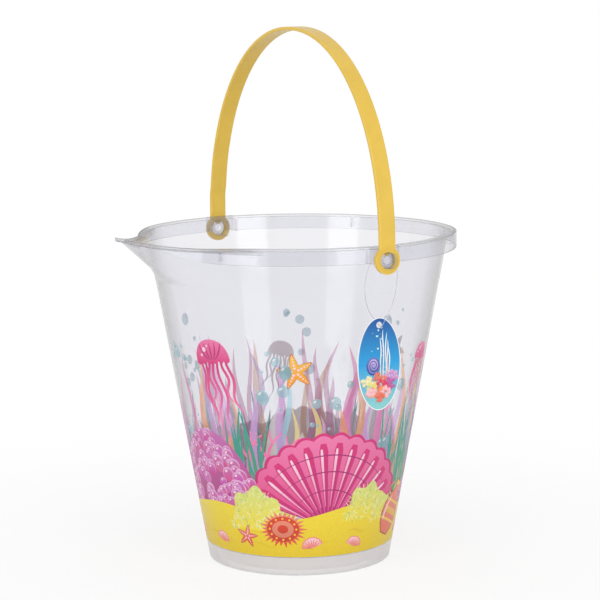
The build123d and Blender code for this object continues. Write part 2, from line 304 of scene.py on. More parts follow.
def passed_under_painted_shade(tree, spot, facing, rim_radius):
    """Share of the light that goes straight through the bucket's plastic at a spot, after the
    painted shade of the rim, lip and studs.
    """
    rim = painted_rim_shade(tree, spot, facing, rim_radius)
    lip = painted_lip_shade(tree, spot)
    aside = add_node(tree, "ShaderNodeMath", {0: spot.outputs["Y"]}, operation="ABSOLUTE")
    stud = add_node(
        tree,
        "ShaderNodeMath",
        {0: aside.outputs[0], 1: rim_radius + STUD_START},
        operation="GREATER_THAN",
    )
    thick = add_node(
        tree,
        "ShaderNodeMath",
        {0: stud.outputs[0], 1: STUD_PAINTED_SHADE, 2: lip.outputs[0]},
        operation="MULTIPLY_ADD",
    )
    kept = add_node(tree, "ShaderNodeMath", {0: 1.0, 1: rim.outputs[0]}, operation="SUBTRACT")
    return add_node(
        tree, "ShaderNodeMath", {0: kept.outputs[0], 1: thick.outputs[0]}, operation="SUBTRACT"
    )


def moulded_clear_polypropylene(tint, wave_size, foot_top, rim_radius):
    """Injection-moulded natural polypropylene: a thin wall that shows what is behind it straight
    through, glossy from the polished mould with slow waves in it. It is greyer along the rim's top
    edge, in the lip and in the studs by painted shade, which stands in for the dark lines that
    refraction draws there, and its slight milk thickens where the wall is seen edge on, and in the
    thick foot, whose mould is left matt."""
    material, tree = new_material("moulded_clear_polypropylene")
    place = add_node(tree, "ShaderNodeTexCoord")
    waves = add_node(
        tree,
        "ShaderNodeTexNoise",
        {"Vector": place.outputs["Object"], "Scale": 1 / wave_size, "Detail": 1.0},
    )
    bump = add_node(
        tree, "ShaderNodeBump", {"Height": waves.outputs[0], "Strength": 0.12, "Distance": 0.4 * MM}
    )
    edge = add_node(tree, "ShaderNodeLayerWeight", {"Blend": 0.5})
    facing = edge.outputs["Facing"]
    spot = add_node(tree, "ShaderNodeSeparateXYZ", {0: place.outputs["Object"]})
    # Painted shade darkens what shows through the rim, lip and studs, standing in for refraction.
    unshaded_share = passed_under_painted_shade(tree, spot, facing, rim_radius)
    shaded_tint = add_node(
        tree, "ShaderNodeVectorMath", {0: tint, 1: unshaded_share.outputs[0]}, operation="MULTIPLY"
    )
    clear = add_node(tree, "ShaderNodeBsdfTransparent", {"Color": shaded_tint.outputs[0]})
    gloss = add_node(
        tree, "ShaderNodeBsdfGlossy", {"Roughness": 0.1, "Normal": bump.outputs[0]}
    )
    # A polished face mirrors a twenty-fifth of the light face on, and far more of it edge on.
    steep = add_node(tree, "ShaderNodeMath", {0: facing, 1: 5.0}, operation="POWER")
    mirrored = add_node(
        tree, "ShaderNodeMapRange", {"Value": steep.outputs[0], "To Min": 0.04, "To Max": 0.6}
    )
    pane = add_node(
        tree,
        "ShaderNodeMixShader",
        {0: mirrored.outputs[0], 1: clear.outputs[0], 2: gloss.outputs[0]},
    )
    milk_colour = (0.97, 0.955, 0.94, 1)
    lit = add_node(tree, "ShaderNodeBsdfDiffuse", {"Color": milk_colour})
    passing = add_node(tree, "ShaderNodeBsdfTranslucent", {"Color": milk_colour})
    milk = add_node(
        tree, "ShaderNodeMixShader", {0: 0.4, 1: lit.outputs[0], 2: passing.outputs[0]}
    )
    thin = add_node(tree, "ShaderNodeMath", {0: facing, 1: 3.0}, operation="POWER")
    haze = add_node(
        tree, "ShaderNodeMapRange", {"Value": thin.outputs[0], "To Min": 0.02, "To Max": 0.3}
    )
    foot = add_node(
        tree,
        "ShaderNodeMapRange",
        {
            "Value": spot.outputs["Z"],
            "From Min": foot_top - 0.8 * MM,
            "From Max": foot_top,
            "To Min": 0.5,
            "To Max": 0.0,
        },
    )
    milky = add_node(
        tree,
        "ShaderNodeMath",
        {0: haze.outputs[0], 1: foot.outputs[0]},
        operation="ADD",
        use_clamp=True,
    )
    body = add_node(
        tree, "ShaderNodeMixShader", {0: milky.outputs[0], 1: pane.outputs[0], 2: milk.outputs[0]}
    )
    finish_material(tree, body)
    return material


def moulded_yellow_polypropylene(pigment):
    """Injection-moulded pigmented polypropylene: satin, with faint flow marks along the strap and
    a fine grain from the mould."""
    material, tree = new_material("moulded_yellow_polypropylene")
    place = add_node(tree, "ShaderNodeTexCoord")
    flow = add_node(
        tree,
        "ShaderNodeTexNoise",
        {
            "Vector": place.outputs["Object"],
            "Scale": 1 / (18 * MM),
            "Detail": 3.0,
            "Distortion": 0.6,
        },
    )
    tone = add_node(tree, "ShaderNodeValToRGB", {"Fac": flow.outputs[0]})
    tone.color_ramp.elements[0].position = 0.3
    tone.color_ramp.elements[0].color = (*[0.93 * c for c in pigment], 1)
    tone.color_ramp.elements[1].position = 0.7
    tone.color_ramp.elements[1].color = (*pigment, 1)
    # The mould's grain is about 0.1 mm; it is drawn at 0.5 mm so that it shows.
    grain = add_node(
        tree,
        "ShaderNodeTexNoise",
        {"Vector": place.outputs["Object"], "Scale": 1 / (0.5 * MM), "Detail": 2.0},
    )
    bump = add_node(
        tree,
        "ShaderNodeBump",
        {"Height": grain.outputs[0], "Strength": 0.12, "Distance": 0.05 * MM},
    )
    plastic = add_node(
        tree,
        "ShaderNodeBsdfPrincipled",
        {
            "Base Color": tone.outputs[0],
            "Roughness": 0.27,
            "IOR": 1.49,
            "Subsurface Weight": 0.12,
            "Subsurface Radius": (1.0, 0.7, 0.3),
            "Subsurface Scale": 1.2 * MM,
            "Normal": bump.outputs[0],
        },
    )
    finish_material(tree, plastic)
    return material


def printed_ink(name, cover, passing, roughness=0.24):
    """Ink on a film that is moulded into the wall: its colour comes with each shape, a fine screen
    grain breaks it up, and the plastic over it makes it glossy. Cover is how much of it is ink,
    and passing how much of the light that it takes comes out on its other side."""
    material, tree = new_material(name)
    ink = add_node(tree, "ShaderNodeAttribute", attribute_name="ink")
    place = add_node(tree, "ShaderNodeTexCoord")
    # A printer's screen is about 0.15 mm; it is drawn at 0.9 mm so that it shows.
    screen = add_node(
        tree,
        "ShaderNodeTexNoise",
        {"Vector": place.outputs["Object"], "Scale": 1 / (0.9 * MM), "Detail": 2.0},
    )
    tone = add_node(
        tree,
        "ShaderNodeMapRange",
        {
            "Value": screen.outputs[0],
            "From Min": 0.3,
            "From Max": 0.7,
            "To Min": 0.93,
            "To Max": 1.05,
        },
    )
    shade = add_node(
        tree,
        "ShaderNodeVectorMath",
        {0: ink.outputs["Color"], 1: tone.outputs[0]},
        operation="MULTIPLY",
    )
    lit = add_node(
        tree,
        "ShaderNodeBsdfPrincipled",
        {"Base Color": shade.outputs[0], "Roughness": roughness, "IOR": 1.49},
    )
    through = add_node(tree, "ShaderNodeBsdfTranslucent", {"Color": shade.outputs[0]})
    layer = add_node(
        tree, "ShaderNodeMixShader", {0: passing, 1: lit.outputs[0], 2: through.outputs[0]}
    )
    bare = add_node(tree, "ShaderNodeBsdfTransparent")
    body = add_node(
        tree, "ShaderNodeMixShader", {0: cover, 1: bare.outputs[0], 2: layer.outputs[0]}
    )
    finish_material(tree, body)
    return material


def drawn_nylon_thread(tint):
    """Drawn nylon thread: clear, smooth and a little grey."""
    material, tree = new_material("drawn_nylon_thread")
    nylon = add_node(
        tree,
        "ShaderNodeBsdfPrincipled",
        {"Base Color": (*tint, 1), "Roughness": 0.12, "IOR": 1.53, "Transmission Weight": 0.8},
    )
    finish_material(tree, lets_lamps_through(tree, nylon))
    return material


def coated_card(bare):
    """Coated card: white, with a faint fibre mottle and a soft gloss."""
    material, tree = new_material("coated_card")
    place = add_node(tree, "ShaderNodeTexCoord")
    fibres = add_node(
        tree,
        "ShaderNodeTexNoise",
        {"Vector": place.outputs["Object"], "Scale": 1 / (0.6 * MM), "Detail": 4.0},
    )
    tone = add_node(tree, "ShaderNodeValToRGB", {"Fac": fibres.outputs[0]})
    tone.color_ramp.elements[0].position = 0.35
    tone.color_ramp.elements[0].color = (*[0.94 * c for c in bare], 1)
    tone.color_ramp.elements[1].position = 0.65
    tone.color_ramp.elements[1].color = (*bare, 1)
    bump = add_node(
        tree,
        "ShaderNodeBump",
        {"Height": fibres.outputs[0], "Strength": 0.1, "Distance": 0.02 * MM},
    )
    card = add_node(
        tree,
        "ShaderNodeBsdfPrincipled",
        {"Base Color": tone.outputs[0], "Roughness": 0.4, "IOR": 1.5, "Normal": bump.outputs[0]},
    )
    finish_material(tree, card)
    return material


def dress(node_name, material):
    """Puts a material on a CAD node."""
    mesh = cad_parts[node_name].data
    mesh.materials.clear()
    mesh.materials.append(material)


# ---------------------------------------------------------------- flat shapes, in millimetres
def oval(x, y, half_width, half_height, steps):
    """Points round an ellipse."""
    turns = [2 * math.pi * step / steps for step in range(steps)]
    return [(x + half_width * math.cos(turn), y + half_height * math.sin(turn)) for turn in turns]


def circle(x, y, radius, steps=28):
    """Points round a circle."""
    return oval(x, y, radius, radius, steps)


def turned(points, degrees, x=0.0, y=0.0, scale=1.0):
    """Points scaled, turned about the origin and moved."""
    angle = math.radians(degrees)
    cos, sin = scale * math.cos(angle), scale * math.sin(angle)
    return [(x + cos * px - sin * py, y + sin * px + cos * py) for px, py in points]


def ribbon(path, widths):
    """Outline of a ribbon along a path, as wide at each point as widths says."""
    left, right = [], []
    for index, (x, y) in enumerate(path):
        x0, y0 = path[max(index - 1, 0)]
        x1, y1 = path[min(index + 1, len(path) - 1)]
        run = math.hypot(x1 - x0, y1 - y0) or 1
        half = max(widths[index], 0.02) / 2
        across = ((y0 - y1) / run * half, (x1 - x0) / run * half)
        left.append((x + across[0], y + across[1]))
        right.append((x - across[0], y - across[1]))
    return right + left[::-1]


def weed(height, width, sway, waves, phase=0.0, lean=0.0, steps=26, tip=0.75):
    """Outline of a blade of weed that stands at the origin and sways as it rises. The nearer its
    tip is to 1, the higher up it starts to taper."""
    path, widths = [], []
    for step in range(steps + 1):
        share = step / steps
        swing = math.sin(2 * math.pi * waves * share + phase) - math.sin(phase)
        path.append((sway * swing * (0.35 + 0.65 * share) + lean * share ** 1.5, height * share))
        widths.append(width * (1 - share ** (1 / (1 - tip))) * (0.75 + 0.25 * share))
    widths[-1] = 0
    return ribbon(path, widths)


def star(points, outer, inner, roundness=5):
    """A starfish: rounded arms with hollow corners between them."""
    outline = []
    steps = 2 * roundness
    for arm in range(points):
        middle = 2 * math.pi * arm / points + math.pi / 2
        half = math.pi / points
        for step in range(-steps, steps):
            share = abs(step) / steps
            reach = inner + (outer - inner) * (1 - share) ** 1.25
            if share < 0.12:
                reach = inner + (outer - inner) * (0.88 ** 1.25 + (0.12 - share) * 0.35)
            angle = middle + half * step / steps * (0.55 + 0.45 * share)
            outline.append((reach * math.cos(angle), reach * math.sin(angle)))
    return outline


def taper(width, steps):
    """Widths of a ribbon that is full in its middle and ends in points."""
    return [width * math.sin(math.pi * step / steps) for step in range(steps + 1)]


def blend(first, second, share):
    """A colour part of the way from the first to the second."""
    return [a + (b - a) * share for a, b in zip(first, second)]


def fan(radius, spread, ribs, frill):
    """A fan shell standing on its hinge at the origin, with a frilled edge."""
    outline = [(-0.1 * radius, 0), (0.1 * radius, 0)]
    steps = ribs * 6
    for step in range(steps + 1):
        share = step / steps
        angle = math.radians(90 + spread * (0.5 - share))
        ripple = 1 + frill * abs(math.sin(math.pi * ribs * share))
        reach = radius * ripple * (1 - 0.13 * abs(2 * share - 1) ** 3)
        outline.append((reach * math.cos(angle), reach * math.sin(angle)))
    return outline


# ---------------------------------------------------------------- printing on a surface
class Print:
    """Printed shapes gathered into one mesh. Each lies a hair over those that it covers."""

    layer_step = 0.0005 * MM
    cell = 2.0                  # side of the cells that remember how many shapes lie there
    cells_round = 180           # cells in a full turn of the wall

    def __init__(self, name, settle, column, row):
        self.name = name
        self.settle = settle        # turns (x, y, lift) into a place on the object
        self.column = column        # shapes are cut at each of these widths, to follow the surface
        self.row = row
        self.materials = []
        self.points = []
        self.tints = []
        self.faces = []
        self.face_materials = []
        self.layers = {}

    def next_layer(self, outline):
        """The layer over all shapes that lie where this one goes."""
        columns, rows = [
            range(math.floor(min(side) / self.cell), math.floor(max(side) / self.cell) + 1)
            for side in zip(*outline)
        ]
        places = [(column % self.cells_round, row) for column in columns for row in rows]
        layer = 1 + max(self.layers.get(place, 0) for place in places)
        self.layers.update((place, layer) for place in places)
        return layer

    def add(self, material, outline, low, high=None):
        """Prints one shape. Its ink goes from the colour low at its foot to high at its top."""
        high = high or low
        lift = self.next_layer(outline) * self.layer_step
        flat = bmesh.new()
        ring = [Vector((x, y, 0)) for x, y in outline]
        verts = [flat.verts.new(point) for point in ring]
        for corners in tessellate_polygon([ring]):
            a, b, c = (verts[corner] for corner in corners)
            area = (b.co - a.co).cross(c.co - a.co).z
            if abs(area) > 1e-9:
                flat.faces.new((a, b, c) if area > 0 else (a, c, b))
        for axis, step in ((0, self.column), (1, self.row)):
            reach = [vert.co[axis] for vert in flat.verts]
            first, last = math.floor(min(reach) / step) + 1, math.ceil(max(reach) / step)
            for line in range(first, last):
                normal = Vector((0, 0, 0))
                normal[axis] = 1
                everything = flat.verts[:] + flat.edges[:] + flat.faces[:]
                bmesh.ops.bisect_plane(
                    flat, geom=everything, plane_co=normal * line * step, plane_no=normal
                )
        bmesh.ops.delete(flat, geom=[v for v in flat.verts if not v.link_faces], context="VERTS")
        if material not in self.materials:
            self.materials.append(material)
        bottom = min(vert.co.y for vert in flat.verts)
        height = max(max(vert.co.y for vert in flat.verts) - bottom, 1e-6)
        start = len(self.points)
        flat.verts.index_update()
        for vert in flat.verts:
            share = (vert.co.y - bottom) / height
            self.points.append(self.settle(vert.co.x, vert.co.y, lift))
            self.tints.append(blend(low, high, share))
        for face in flat.faces:
            self.faces.append([start + vert.index for vert in face.verts])
            self.face_materials.append(self.materials.index(material))
        flat.free()

    def make(self):
        """Makes the piece."""
        mesh = bpy.data.meshes.new(self.name)
        mesh.from_pydata(self.points, [], self.faces)
        for material in self.materials:
            mesh.materials.append(material)
        mesh.polygons.foreach_set("material_index", self.face_materials)
        ink = mesh.attributes.new("ink", "FLOAT_COLOR", "POINT")
        ink.data.foreach_set("color", [channel for tint in self.tints for channel in (*tint, 1)])
        mesh.shade_smooth()
        piece = bpy.data.objects.new(self.name, mesh)
        bpy.context.scene.collection.objects.link(piece)
        return piece


# ---------------------------------------------------------------- the bucket's print
def wall_profile():
    """The wall's radius at a height, read from the film's lower and upper rim."""
    low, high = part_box("print_film")
    ring = [v.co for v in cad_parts["print_film"].data.vertices if v.co.z < low.z + 1e-5]
    foot = max(math.hypot(co.x, co.y) for co in ring)
    slope = (high.x - foot) / (high.z - low.z)
    return lambda z: foot + slope * (z - low.z)


wall_radius = wall_profile()
film_low, film_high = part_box("print_film")


class WallPrint(Print):
    """Prints on the bucket's wall. Shapes are placed by azimuth from the spout and height."""

    recess = 0.18 * MM     # the inks lie in the film's hollow in the wall
    margin = 0.05          # kept clear along the film's edges, in millimetres

    def __init__(self, name, inks):
        super().__init__(name, self.on_wall, column=2.0, row=6.0)
        self.inks = inks
        self.solid = printed_ink("screen_printed_solid_ink", cover=1.0, passing=0.08)
        self.sheer = printed_ink("screen_printed_sheer_ink", cover=0.62, passing=0.2)
        self.backing = printed_ink("white_backing_ink", cover=1.0, passing=0.2, roughness=0.3)
        self.bottom = film_low.z / MM + self.margin
        self.top = film_high.z / MM - self.margin

    def on_wall(self, azimuth, height, lift):
        """A place on the wall, from degrees and millimetres. The wall counts as flat between two
        cuts, so that no shape shows through the one that covers it."""
        middle = (math.floor(azimuth / self.column) + 0.5) * self.column
        sag = math.cos(math.radians(self.column / 2)) / math.cos(math.radians(azimuth - middle))
        radius = (wall_radius(height * MM) - self.recess + lift) * sag
        angle = math.radians(azimuth)
        return (radius * math.cos(angle), radius * math.sin(angle), height * MM)

    def stamp(self, shape, azimuth, height, low, high=None, ink=None):
        """Prints a shape drawn in millimetres about the place at that azimuth and height."""
        placed = []
        for x, y in shape:
            z = min(max(height + y, self.bottom), self.top)
            placed.append((azimuth + math.degrees(x * MM / wall_radius(z * MM)), z))
        self.add(ink or self.solid, placed, low, high)

    def backed(self, shape, azimuth, height, low, high=None):
        """Prints a shape over its own white backing."""
        self.stamp(shape, azimuth, height, self.inks.backing, ink=self.backing)
        self.stamp(shape, azimuth, height, low, high)


def dune(azimuth):
    """Height of the sea floor at an azimuth, in millimetres."""
    angle = math.radians(azimuth)
    return 40 + 7 * math.sin(angle + 0.6) + 4 * math.sin(3 * angle + 2.0) + 2 * math.sin(5 * angle)


def sea_floor(sheet, rng):
    """Yellow sand round the foot, with shaded hollows and pebbles."""
    inks = sheet.inks
    across = list(range(0, 361, 3))
    outline = [(a, sheet.bottom) for a in across] + [(a, dune(a)) for a in reversed(across)]
    sheet.add(sheet.backing, outline, inks.backing)
    sheet.add(sheet.solid, outline, inks.sand_shade, inks.sand)
    for start in range(0, 360, 30):
        middle = start + rng.uniform(4, 18)
        height = rng.uniform(19, 30)
        length = rng.uniform(16, 34)
        path = [(length * (s / 12 - 0.5), 1.5 * math.sin(s / 2)) for s in range(13)]
        sheet.stamp(ribbon(path, taper(2.2, 12)), middle, height, inks.sand_shade)
    for _ in range(90):
        azimuth = rng.uniform(0, 360)
        height = rng.uniform(16, dune(azimuth) - 4)
        sheet.stamp(circle(0, 0, rng.uniform(0.3, 0.7), 8), azimuth, height, inks.gold)


def rocks(sheet):
    """Soft grey rocks far behind, as broad sheer shapes."""
    foot = 38
    for azimuth, half, top in (
        (18, 30, 96), (52, 26, 122), (118, 34, 104), (196, 40, 112), (285, 34, 100),
    ):
        shape = [(-half, 0)]
        for step in range(13):
            share = step / 12
            bumps = 0.82 + 0.18 * math.sin(5 * share * math.pi + azimuth)
            rise = (top - foot) * math.sin(math.pi * share) ** 0.6 * bumps
            shape.append((half * (2 * share - 1), max(rise, 0.5)))
        shape.append((half, 0))
        sheet.stamp(shape, azimuth, foot, sheet.inks.rock, ink=sheet.sheer)


def tall_weed(sheet, rng):
    """Long ribbons of weed that stand on the sea floor and reach up the wall."""
    inks = sheet.inks
    warm = (inks.ribbon_pink, inks.ribbon_pink, inks.ribbon_violet, inks.ribbon_orange)
    cool = (inks.ribbon_blue, inks.ribbon_yellow, inks.ribbon_pink, inks.ribbon_violet)
    for place, cluster in enumerate(range(10, 360, 25)):
        tints = cool if place % 3 == 2 else warm
        for _ in range(6):
            azimuth = cluster + rng.uniform(-10, 10)
            foot = dune(azimuth) - 3
            shape = weed(
                rng.uniform(48, 132),
                width=rng.uniform(4.5, 8.5),
                sway=rng.uniform(2.5, 5.5),
                waves=rng.uniform(0.9, 1.7),
                phase=rng.uniform(0, 6.3),
                lean=rng.uniform(-10, 10),
            )
            tint = rng.choice(tints)
            pale = [0.12 + 0.88 * c for c in tint]
            sheet.stamp(shape, azimuth, foot, tint, pale, ink=sheet.sheer)


def sea_grass(sheet, rng):
    """Tufts of narrow green blades."""
    inks = sheet.inks
    for cluster in (24, 40, 106, 118, 130, 205, 262, 318):
        for _ in range(9):
            azimuth = cluster + rng.uniform(-7, 7)
            shape = weed(
                rng.uniform(38, 84),
                width=rng.uniform(1.8, 3.4),
                sway=rng.uniform(0.8, 2.0),
                waves=rng.uniform(0.4, 0.9),
                phase=rng.uniform(0, 6.3),
                lean=rng.uniform(-12, 12),
            )
            sheet.stamp(shape, azimuth, dune(azimuth) - 2, inks.leaf, inks.teal)


def moss(sheet, rng, azimuth, half_width, rise):
    """A mound of moss: a soft green heap with a bristle of fine blades all over it."""
    inks = sheet.inks
    foot = dune(azimuth) - 12
    heap = [(half_width, 0)]
    for step in range(25):
        angle = math.pi * step / 24
        bump = 1 + 0.09 * math.sin(7 * angle + azimuth)
        heap.append((half_width * bump * math.cos(angle), rise * bump * math.sin(angle) ** 0.7))
    sheet.backed(heap, azimuth, foot, inks.sand, inks.lime)
    blades = []
    for _ in range(int(0.3 * half_width * rise)):
        across = rng.uniform(-1, 1)
        up = rng.uniform(0, 1.05) * math.sqrt(1 - across * across)
        blades.append((half_width * across, rise * up))
    tints = (
        (inks.moss_shade, inks.lime), (inks.lime, inks.moss_light), (inks.sand, inks.moss_light),
    )
    for x, y in sorted(blades, key=lambda blade: -blade[1]):
        blade = weed(
            rng.uniform(2.6, 4.6),
            width=rng.uniform(0.5, 0.9),
            sway=0.3,
            waves=0.5,
            phase=rng.uniform(0, 6),
            steps=3,
        )
        shape = turned(blade, rng.uniform(-60, 60) - 30 * x / half_width, x, y - 1.5)
        sheet.stamp(shape, azimuth, foot, *rng.choice(tints))


def bubbles(sheet, rng):
    """Pale bubbles, each with a lighter glint."""
    for cluster, low, high, number in (
        (-4, 95, 160, 11), (48, 110, 164, 9), (74, 96, 150, 8), (112, 90, 158, 10),
        (146, 95, 160, 9), (190, 100, 166, 10), (236, 90, 160, 8), (300, 95, 166, 10),
    ):
        for _ in range(number):
            azimuth = cluster + rng.uniform(-9, 9)
            height = rng.uniform(low, high)
            radius = rng.choice((1.2, 1.8, 2.6, 3.4, 4.4))
            sheet.stamp(circle(0, 0, radius), azimuth, height, sheet.inks.bubble, ink=sheet.sheer)
            glint = oval(0, 0, 0.34 * radius, 0.2 * radius, 12)
            glint = turned(glint, 40, -0.35 * radius, 0.4 * radius)
            sheet.stamp(glint, azimuth, height, (1, 1, 1), ink=sheet.sheer)


def great_shell(sheet, azimuth, height, radius, lean):
    """A fan shell: frilled edge, ribs from the hinge, growth lines and a shaded foot."""
    inks = sheet.inks
    ribs = 13
    steps = 10
    shares = [step / steps for step in range(steps + 1)]
    outline = turned(fan(radius, 150, ribs, 0.045), lean)
    sheet.backed(outline, azimuth, height, inks.deep_magenta, inks.magenta)
    inner = turned(fan(0.97 * radius, 147, ribs, 0.045), lean)
    sheet.stamp(inner, azimuth, height, inks.magenta, inks.pink)
    for rib in range(ribs):
        angle = 90 + 144 * ((rib + 0.5) / ribs - 0.5)
        length = 0.93 * radius * (1 - 0.13 * abs(2 * (rib + 0.5) / ribs - 1) ** 3)
        path = [(0.1 * radius + (length - 0.1 * radius) * share, 0) for share in shares]
        widths = [0.105 * radius * (0.15 + 0.85 * share) for share in shares]
        widths[-1] *= 0.55
        shape = turned(ribbon(path, widths), angle + lean)
        sheet.stamp(shape, azimuth, height, inks.deep_magenta, inks.magenta)
        path = [(0.24 * radius + (length - 0.3 * radius) * share, 0.2) for share in shares]
        light = turned(ribbon(path, [0.2 + 0.28 * w for w in widths]), angle + 1.2 + lean)
        sheet.stamp(light, azimuth, height, inks.pink, inks.pale_pink)
    for reach in (0.42, 0.62, 0.8):
        arc = [math.radians(90 + lean + 132 * (s / 24 - 0.5)) for s in range(25)]
        path = [(reach * radius * math.cos(a), reach * radius * math.sin(a)) for a in arc]
        sheet.stamp(ribbon(path, taper(0.9, 24)), azimuth, height, inks.deep_magenta)


def bubble_coral(sheet, rng, azimuth, half_width, top):
    """A mound of round coral heads, dark at its foot and light at its crown."""
    inks = sheet.inks
    foot = dune(azimuth) - 8
    rise = top - foot
    heads = []
    for _ in range(130):
        across = rng.uniform(-1, 1)
        up = rng.uniform(0, 1)
        if across ** 2 + up ** 2 < 1:
            heads.append((half_width * across, rise * up))
    turns = [math.pi * step / 30 for step in range(31)]
    mound = [(1.06 * half_width * math.cos(t), 1.05 * rise * math.sin(t)) for t in turns]
    sheet.backed(mound, azimuth, foot, inks.deep_magenta, inks.orchid)
    for x, y in sorted(heads, key=lambda head: -head[1]):
        radius = rng.uniform(3.0, 5.4)
        # Each channel is drawn by itself, so that no two heads have the same purple.
        tint = [a + (b - a) * rng.uniform(0, 1) for a, b in zip(inks.orchid, inks.magenta)]
        middle = circle(x, y - 0.1 * radius, 0.84 * radius, 20)
        glint = oval(0, 0, 0.28 * radius, 0.16 * radius, 10)
        glint = turned(glint, 35, x - 0.3 * radius, y + 0.4 * radius)
        sheet.stamp(circle(x, y, radius, 20), azimuth, foot, tint, inks.lilac)
        sheet.stamp(middle, azimuth, foot, tint, inks.orchid)
        sheet.stamp(glint, azimuth, foot, inks.pale_pink)


def starfish(sheet, azimuth, height, radius, turn, body, light):
    """A starfish with a lighter middle and a row of dots on each arm."""
    inks = sheet.inks
    outline = turned(star(5, radius, 0.36 * radius), turn)
    sheet.backed(outline, azimuth, height, [0.72 * c for c in body])
    sheet.stamp(turned(outline, 0, 0, 0, 0.9), azimuth, height, body, light)
    for arm in range(5):
        angle = math.radians(90 + 72 * arm + turn)
        for place in (0.18, 0.34, 0.5, 0.66, 0.8):
            x, y = radius * place * math.cos(angle), radius * place * math.sin(angle)
            dot = circle(x, y, radius * 0.055 * (1.35 - place), 10)
            sheet.stamp(dot, azimuth, height, inks.pale_pink)


def jellyfish(sheet, azimuth, height, scale, lean):
    """A jellyfish: a domed bell with a frill and long trailing arms."""
    inks = sheet.inks
    turns = [math.pi * step / 24 for step in range(25)]
    bell = [(13 * math.cos(turn), 13.5 * math.sin(turn) ** 0.8) for turn in turns]
    hem = [(26 * s / 18 - 13, -1.6 * abs(math.sin(math.pi * s / 3))) for s in range(1, 18)]

    def placed(shape):
        return turned(shape, lean, scale=scale)

    for index, x in enumerate((-9.5, -6.2, -3.1, 0, 3.1, 6.2, 9.5)):
        length = 34 + 9 * math.sin(2.1 * index)
        arm = weed(length, width=2.4, sway=2.2, waves=1.5, phase=0.8 * index, steps=22)
        arm = placed([(px + x, -py) for px, py in arm])
        sheet.backed(arm, azimuth, height, inks.pink, inks.magenta)
    sheet.backed(placed(bell + hem), azimuth, height, inks.magenta, inks.pink)
    for share in (-0.66, -0.33, 0, 0.33, 0.66):
        path = [
            (13 * share * math.sin(math.pi * s / 20) ** 0.7, 12.6 * s / 10) for s in range(1, 10)
        ]
        stripe = placed(ribbon(path, taper(1.1, 10)[1:-1]))
        sheet.stamp(stripe, azimuth, height, inks.deep_magenta, inks.magenta)
    for x, y, radius in ((-5, 7.6, 1.5), (-7.8, 4.4, 0.9), (-2.2, 9.6, 0.7)):
        sheet.stamp(placed(circle(x, y, radius, 14)), azimuth, height, inks.pale_pink)


def anemone(sheet, azimuth, height, radius):
    """A red anemone: a crown of pointed arms round a dotted middle."""
    inks = sheet.inks
    outline = []
    arms = 26
    for step in range(2 * arms):
        reach = radius * ((1.0 if step % 4 == 0 else 0.9) if step % 2 == 0 else 0.66)
        angle = math.pi * step / arms
        outline.append((reach * math.cos(angle), 0.82 * reach * math.sin(angle)))
    sheet.backed(outline, azimuth, height, inks.coral_red, inks.salmon)
    for share, tint in ((0.66, inks.coral_red), (0.44, inks.salmon), (0.22, inks.coral_red)):
        ring = oval(0, 0, share * radius, 0.82 * share * radius, 26)
        sheet.stamp(ring, azimuth, height, [0.8 * c for c in tint], tint)
    for dot in range(12):
        angle = 2 * math.pi * dot / 12
        x, y = 0.54 * radius * math.cos(angle), 0.45 * radius * math.sin(angle)
        sheet.stamp(circle(x, y, 0.045 * radius, 10), azimuth, height, inks.gold)


def jar(sheet, azimuth, height, scale, lean):
    """A sunken clay jar with two handles and gilt bands, lying in the sand."""
    inks = sheet.inks
    side = [
        (3.2, 29), (3.0, 26.5), (3.3, 24), (6.8, 20.5),
        (9.4, 15), (9.6, 10.5), (7.4, 4.5), (3.6, 0),
    ]
    body = side + [(-x, y) for x, y in reversed(side)]

    def placed(shape):
        return turned(shape, lean, scale=scale)

    turns = [math.radians(-70 + 140 * s / 12) for s in range(13)]
    for hand in (1, -1):
        path = [(hand * (5.2 + 4.6 * math.cos(t)), 22.4 + 4.2 * math.sin(t)) for t in turns]
        grip = placed(ribbon(path, [1.5] * 13))
        sheet.backed(grip, azimuth, height, inks.brown, inks.salmon)
    sheet.backed(placed(body), azimuth, height, inks.brown)
    smaller = placed([(0.93 * x, 0.6 + 0.96 * y) for x, y in body])
    clay = [0.5 * (a + b) for a, b in zip(inks.coral_red, inks.salmon)]
    sheet.stamp(smaller, azimuth, height, clay, inks.salmon)
    for low, high, wide in ((7.0, 8.2, 8.1), (16.8, 18.0, 7.9), (26.4, 28.6, 3.1)):
        band = placed([(-wide, low), (wide, low), (wide, high), (-wide, high)])
        sheet.stamp(band, azimuth, height, inks.gold)
    path = [(-7.6 + 15.2 * s / 24, 12.4 + 1.5 * (-1) ** (s // 2)) for s in range(25)]
    sheet.stamp(placed(ribbon(path, [0.8] * 25)), azimuth, height, inks.gold)
    light = ribbon([(-5.6, 6.4), (-6.6, 10), (-6.2, 15), (-4.2, 19.6)], [0.4, 1.3, 1.2, 0.3])
    sheet.stamp(placed(light), azimuth, height, inks.pale_pink)


def sea_fan(sheet, azimuth, height, scale, stem, twig):
    """A branching coral: stems that fork again and again into twigs."""
    forks = 4
    made = []

    def branch(x, y, angle, length, width, left):
        end = (x + length * math.cos(angle), y + length * math.sin(angle))
        reach, bent = 0.55 * length, angle + 0.12
        bend = (x + reach * math.cos(bent), y + reach * math.sin(bent))
        made.append((ribbon([(x, y), bend, end], [width, 0.86 * width, 0.7 * width]), left))
        made.append((circle(*end, 0.36 * width, 10), left))
        if left:
            for side, shorter in ((0.5, 0.8), (-0.42, 0.86)):
                branch(*end, angle + side, length * shorter, 0.72 * width, left - 1)

    branch(0, 0, math.pi / 2, 15 * scale, 4.6 * scale, forks)
    for shape, left in made:
        sheet.stamp(shape, azimuth, height, sheet.inks.backing, ink=sheet.backing)
    for shape, left in made:
        share = left / forks
        tint = [a * share + b * (1 - share) for a, b in zip(stem, twig)]
        sheet.stamp(shape, azimuth, height, tint)


